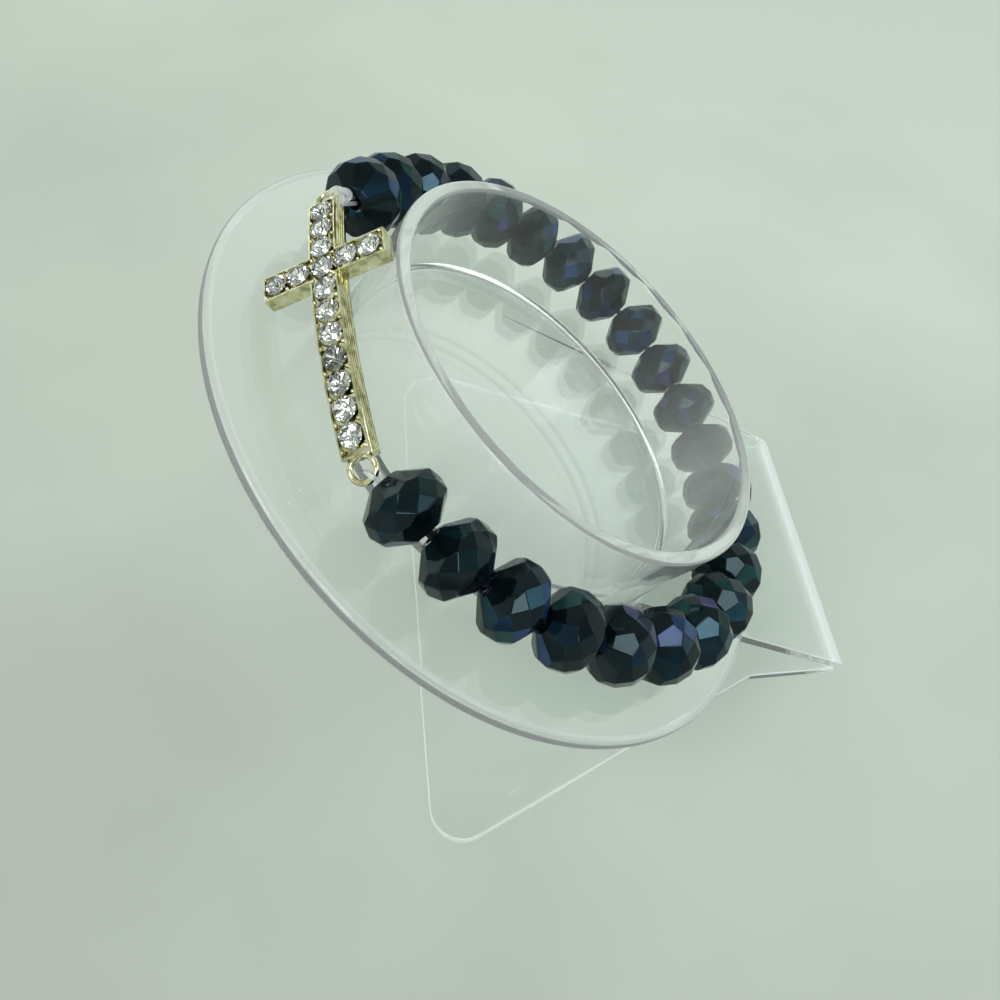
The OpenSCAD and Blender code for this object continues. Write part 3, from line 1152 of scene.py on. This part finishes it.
def crown_profile(stand):
    """Section of the crown and brim, from the axis under the floor round to the axis above it."""
    top = -stand.brim_depth
    bottom = top - stand.brim_thickness
    edge = stand.brim_thickness / 2
    shoulder = stand.rim_height - RIM_R
    lean = math.degrees(math.atan2(stand.rim - stand.base, stand.rim_height - top))
    points = [(0, bottom)]
    points += arc_points((stand.brim - edge, (top + bottom) / 2), edge, -90, 90, 2 * CORNER_STEPS)
    points += arc_points((stand.base + CORNER_R, top + CORNER_R), CORNER_R, 270, 180 - lean)
    points += arc_points((stand.rim - RIM_R, shoulder), RIM_R, -lean, 90)
    points += arc_points((stand.rim - stand.wall + RIM_R, shoulder), RIM_R, 90, 180 - lean)
    inner = stand.base - stand.wall - CORNER_R
    points += arc_points((inner, top + CORNER_R), CORNER_R, -lean, -90)
    points.append((0, top))
    return points


def band_finish(stand, start, end):
    """The finish of the band between two points of the crown's section."""
    outer = max(start[0], end[0])
    low, high = sorted((start[1], end[1]))
    above_brim = (low + high) / 2 + stand.brim_depth
    if OFF_BRIM < above_brim < CORNER_R:
        return CORNER
    if outer > stand.brim - stand.brim_thickness / 2 or low > stand.rim_height - RIM_BAND:
        return EDGE
    return WALL if high > 0 else FLAT


def ring_of_points(work, r, z):
    """A ring of the crown at a radius and a height on the slope, or one point on its axis."""
    if r == 0:
        return [work.verts.new(SLOPE @ Vector((0, 0, z)))]
    turns = [math.tau * i / CROWN_STEPS for i in range(CROWN_STEPS)]
    return [work.verts.new(SLOPE @ Vector((r * math.cos(a), r * math.sin(a), z))) for a in turns]


class BRACELET_OT_crown(bpy.types.Operator):
    """Turns the stand's crown and brim as one clear moulding"""

    bl_idname = "bracelet.crown"
    bl_label = "Crown and Brim"

    def execute(self, context):
        stand = context.scene.bracelet_stand
        section = crown_profile(stand)
        work = bmesh.new()
        rings = [ring_of_points(work, r, z) for r, z in section]
        for start, end, lower, upper in zip(section, section[1:], rings, rings[1:]):
            finish = band_finish(stand, start, end)
            for i in range(CROWN_STEPS):
                j = (i + 1) % CROWN_STEPS
                if len(lower) == 1:
                    corners = (lower[0], upper[j], upper[i])
                elif len(upper) == 1:
                    corners = (lower[i], lower[j], upper[0])
                else:
                    corners = (lower[i], lower[j], upper[j], upper[i])
                work.faces.new(corners).material_index = finish
        bmesh.ops.recalc_face_normals(work, faces=work.faces)
        mesh = bpy.data.meshes.new("crown_and_brim")
        work.to_mesh(mesh)
        work.free()
        mesh.materials.append(clear_acrylic(stand))
        mesh.materials.append(milky_acrylic(stand, RIM_CLEAR))
        mesh.materials.append(crown_acrylic(stand))
        mesh.materials.append(milky_acrylic(stand, CORNER_CLEAR))
        mesh.shade_smooth()
        mesh.set_sharp_from_angle(angle=math.radians(40))
        crown = link_object("crown_and_brim", mesh)
        keep_flats(crown)
        finish_piece(settled(crown), "clear_acrylic", "stand_crown")
        return {"FINISHED"}


class BRACELET_OT_foot(bpy.types.Operator):
    """Makes the stand's clear foot from its folded solid"""

    bl_idname = "bracelet.foot"
    bl_label = "Foot"

    def execute(self, context):
        stand = context.scene.bracelet_stand
        foot = merged_copy("stand_foot", "folded_foot", ONE_FACE)
        front = max(v.co.x for v in foot.data.vertices)
        foot.data.materials.append(foot_acrylic(stand, front - FOLD))
        foot.data.materials.append(milky_acrylic(stand, CUT_CLEAR))
        for face in foot.data.polygons:
            cut = abs(face.normal.z) < UPRIGHT and face.center.z < SHEET
            face.material_index = EDGE if cut else FLAT
        foot.data.shade_smooth()
        add_bevel(foot, FOOT_EDGE, angle=32, segments=3, finish=EDGE)
        finish_piece(settled(foot), "clear_acrylic", "stand_foot")
        return {"FINISHED"}


# The stage


def add_area_light(name, at, toward, size, power, colour):
    """A square soft light that looks at a point."""
    data = bpy.data.lights.new(name, "AREA")
    data.shape = "SQUARE"
    data.size = size
    data.energy = power
    data.color = colour
    light = bpy.data.objects.new(name, data)
    light.location = at
    light.rotation_euler = (Vector(toward) - Vector(at)).to_track_quat("-Z", "Y").to_euler()
    bpy.context.scene.collection.objects.link(light)


def direction(azimuth, elevation):
    """A unit vector from angles in degrees."""
    a, e = math.radians(azimuth), math.radians(elevation)
    return Vector((math.cos(a) * math.cos(e), math.sin(a) * math.cos(e), math.sin(e)))


def soft_world(stage):
    """Soft light from all round: bright low down and behind, dim overhead and in front."""
    world = bpy.data.worlds.new("soft light")
    world.use_nodes = True
    tree = world.node_tree
    place = add_node(tree, "ShaderNodeTexCoord")
    parts = add_node(tree, "ShaderNodeSeparateXYZ", Vector=place.outputs["Generated"])
    by_height = ramp(tree, parts.outputs["Z"], shares(stage.sky, SKY_BY_HEIGHT))
    by_depth = add_node(
        tree,
        "ShaderNodeMapRange",
        Value=parts.outputs["Y"],
        From_Min=-1,
        To_Min=SKY_IN_FRONT,
        To_Max=SKY_BEHIND,
    )
    shine = tree.nodes["Background"]
    tree.links.new(by_height, shine.inputs["Color"])
    tree.links.new(by_depth.outputs["Result"], shine.inputs["Strength"])
    bpy.context.scene.world = world


class BRACELET_OT_stage(bpy.types.Operator):
    """Lays the pale floor, sets the soft lights and the camera"""

    bl_idname = "bracelet.stage"
    bl_label = "Stage"

    def execute(self, context):
        stage = context.scene.bracelet_stage
        signs = ((-1, -1), (1, -1), (1, 1), (-1, 1))
        corners = [(x * FLOOR_HALF, y * FLOOR_HALF, FLOOR_Z) for x, y in signs]
        mesh = mesh_from("pale_floor", corners, [(0, 1, 2, 3)])
        mesh.materials.append(floor_paint(stage))
        link_object("pale_floor", mesh)

        for name, azimuth, elevation, distance, size, power, colour in LAMPS:
            at = LAMPS_FACE + direction(azimuth, elevation) * distance
            add_area_light(name, at, LAMPS_FACE, size, power, colour)
        soft_world(stage)

        back = CAMERA_BACK.normalized()
        up = back.cross(CAMERA_RIGHT).normalized()
        right = up.cross(back)
        camera = bpy.data.objects.new("camera", bpy.data.cameras.new("camera"))
        turn = Matrix((right, up, back)).transposed().to_4x4()
        camera.matrix_world = Matrix.Translation(CAMERA_AT) @ turn
        camera.data.lens = CAMERA_LENS
        camera.data.sensor_width = CAMERA_SENSOR
        camera.data.clip_start, camera.data.clip_end = CAMERA_SEES
        context.scene.collection.objects.link(camera)
        context.scene.camera = camera
        context.scene.view_settings.view_transform = "Standard"
        return {"FINISHED"}


class BRACELET_PT_panel(bpy.types.Panel):
    """Lists the bracelet's pieces and their settings"""

    bl_label = "Bracelet"
    bl_idname = "BRACELET_PT_panel"
    bl_space_type = "VIEW_3D"
    bl_region_type = "UI"
    bl_category = "Bracelet"

    def draw(self, context):
        for operator in OPERATORS:
            self.layout.operator(operator.bl_idname)
        for name in GROUPS:
            group = getattr(context.scene, name)
            box = self.layout.box()
            for key in group.__annotations__:
                box.prop(group, key)


OPERATORS = (
    BRACELET_OT_stage,
    BRACELET_OT_beads,
    BRACELET_OT_cross,
    BRACELET_OT_stones,
    BRACELET_OT_elastic,
    BRACELET_OT_crown,
    BRACELET_OT_foot,
)
GROUPS = {
    "bracelet_beads": BeadSettings,
    "bracelet_cross": CrossSettings,
    "bracelet_stand": StandSettings,
    "bracelet_stage": StageSettings,
}


def register():
    """Registers the settings, the operators and the panel."""
    for group in GROUPS.values():
        bpy.utils.register_class(group)
    for made in (*OPERATORS, BRACELET_PT_panel):
        bpy.utils.register_class(made)
    for name, group in GROUPS.items():
        setattr(bpy.types.Scene, name, PointerProperty(type=group))


def unregister():
    """Removes what register added."""
    for name in GROUPS:
        delattr(bpy.types.Scene, name)
    for made in (BRACELET_PT_panel, *reversed(OPERATORS), *reversed(GROUPS.values())):
        bpy.utils.unregister_class(made)


def main():
    """Makes the stage and every piece."""
    register()
    for operator in OPERATORS:
        getattr(bpy.ops.bracelet, operator.bl_idname.removeprefix("bracelet."))()


if __name__ == "__main__":
    main()
